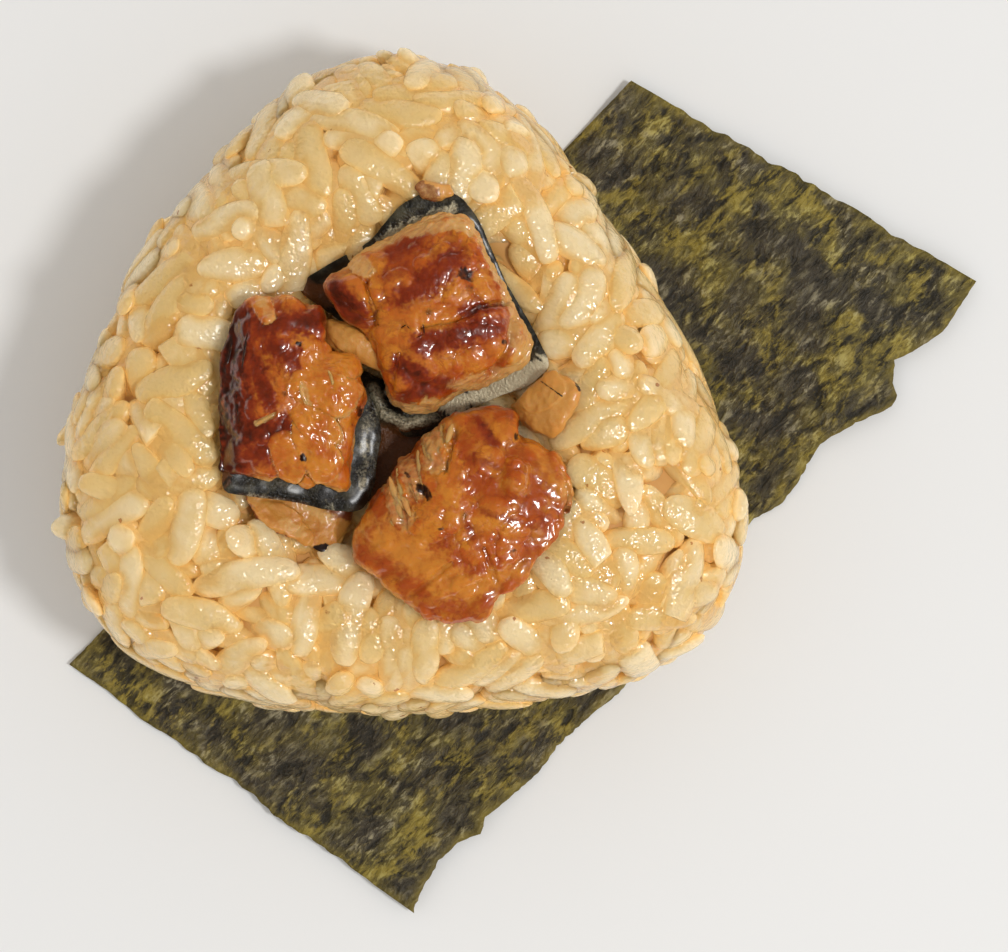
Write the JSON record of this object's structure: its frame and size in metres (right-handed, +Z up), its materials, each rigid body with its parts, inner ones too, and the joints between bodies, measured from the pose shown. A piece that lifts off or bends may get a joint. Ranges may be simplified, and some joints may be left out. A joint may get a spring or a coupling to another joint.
{
  "type": "onigiri rice ball",
  "caption": "Hand-pressed rounded triangle of seasoned rice lying on a torn strip of nori, with pieces of grilled glazed eel in a dimple on top.",
  "frame": {"origin": "on the table, under the middle of the whole object's bounding box", "axes": "+Z up, out of the ball's broad upper face; +Y from the ball's base edge to its apex; +X along the long side of the whole"},
  "size_m": [0.1206, 0.1124, 0.0367],
  "materials": {
    "rice": "moist cooked rice tinted by soy sauce",
    "glazed_flesh": "grilled eel under a wet brown glaze",
    "pale_flesh": "moist unglazed eel flesh",
    "skin": "wet grey-black fish skin",
    "nori": "matt mottled sheet of dried seaweed"
  },
  "bodies": {
    "root": {"rice_ball": "rice", "eel_left": "glazed_flesh", "eel_top": "glazed_flesh", "eel_right": "glazed_flesh", "eel_strip": "pale_flesh", "eel_under": "pale_flesh", "eel_flake": "pale_flesh", "eel_left_skin": "skin", "eel_top_skin": "skin", "nori": "nori"}
  },
  "joints": []
}
